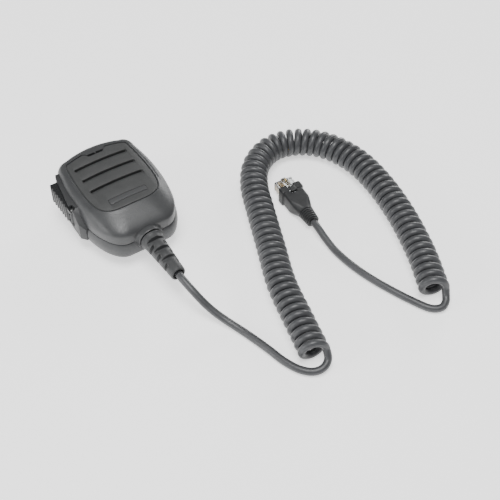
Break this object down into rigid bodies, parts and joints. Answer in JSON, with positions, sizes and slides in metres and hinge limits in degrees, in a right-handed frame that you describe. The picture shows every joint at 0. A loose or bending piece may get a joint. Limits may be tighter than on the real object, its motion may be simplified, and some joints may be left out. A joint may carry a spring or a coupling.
{
  "type": "hand microphone",
  "caption": "Hand-held push-to-talk microphone for a mobile radio: slotted two-shell case, side key, hang-up button, coiled cord and modular plug.",
  "frame": {"origin": "bottom centre of the microphone's bounding box, without the coiled cord and plug, on the surface that the hang-up button rests on", "axes": "+Z out of the grille, +Y from the cord's strain relief towards the head, +X across the case away from the push-to-talk key"},
  "size_m": [0.191, 0.2031, 0.034],
  "materials": {
    "shell": "charcoal ABS, spark-textured, semi-matt",
    "bezel": "charcoal ABS, fine matt",
    "key": "near-black moulded key, semi-gloss ribs",
    "rubber": "dark grey moulded rubber",
    "cord": "dark grey polyurethane jacket, satin",
    "plug_boot": "black moulded PVC, satin",
    "clear": "clear polycarbonate",
    "contact": "gold-plated contact blades",
    "steel": "zinc-plated or nickel-plated steel",
    "plate": "blank dark badge plate, satin",
    "board": "green solder-masked glass-epoxy board",
    "electronic": "black moulded component bodies",
    "cloth": "black open-weave acoustic cloth"
  },
  "bodies": {
    "microphone": {"front_case": "shell", "rear_case": "shell", "side_bezel": "bezel", "capsule_holder": "rubber", "strain_relief": "rubber", "cord_tail": "cord", "cord_mic_end": "cord", "cord_coil": "cord", "cord_plug_end": "cord", "plug_boot": "plug_boot", "plug_body": "clear", "plug_contact_1": "contact", "plug_contact_2": "contact", "plug_contact_3": "contact", "plug_contact_4": "contact", "plug_contact_5": "contact", "plug_contact_6": "contact", "plug_contact_7": "contact", "plug_contact_8": "contact", "case_screw_1": "steel", "case_screw_2": "steel", "case_screw_3": "steel", "case_screw_4": "steel", "key_hinge_pin": "steel", "board_screw_1": "steel", "board_screw_2": "steel", "hang_button": "steel", "hang_button_screw": "steel", "hang_button_nut": "steel", "cord_clamp": "steel", "clamp_screw_1": "steel", "clamp_screw_2": "steel", "microphone_capsule": "steel", "badge_plate": "plate", "circuit_board": "board", "switch_housing": "electronic", "cord_header": "electronic", "board_chip": "electronic", "board_capacitor": "electronic", "level_trimmer": "electronic", "wire_bundle": "electronic", "grille_cloth": "cloth"},
    "key": {"talk_key": "key"},
    "plunger": {"switch_plunger": "key"},
    "latch": {"plug_latch": "clear", "latch_pad": "plug_boot"}
  },
  "joints": [
    {"name": "talk_key_hinge", "type": "hinge", "parent": "microphone", "child": "key", "pos_m": [-0.02915, 0.01635, 0.02], "axis": [0, 0, -1], "range_deg": [0, 4.5], "stiffness_Nm_per_rad": 0.3, "springref_deg": -5.73},
    {"name": "switch_plunger_slide", "type": "slide", "parent": "microphone", "child": "plunger", "axis": [1, 0, 0], "range_m": [0, 0.0008]},
    {"name": "plug_latch_hinge", "type": "hinge", "parent": "microphone", "child": "latch", "pos_m": [0.10016, -0.01577, 0.00995], "axis": [0.9971, -0.0767, 0], "range_deg": [0, 5], "stiffness_Nm_per_rad": 0.05, "springref_deg": -5.73}
  ],
  "couplings": [
    {"joint": "switch_plunger_slide", "follows": "talk_key_hinge", "m_per_rad": 0.0101}
  ]
}
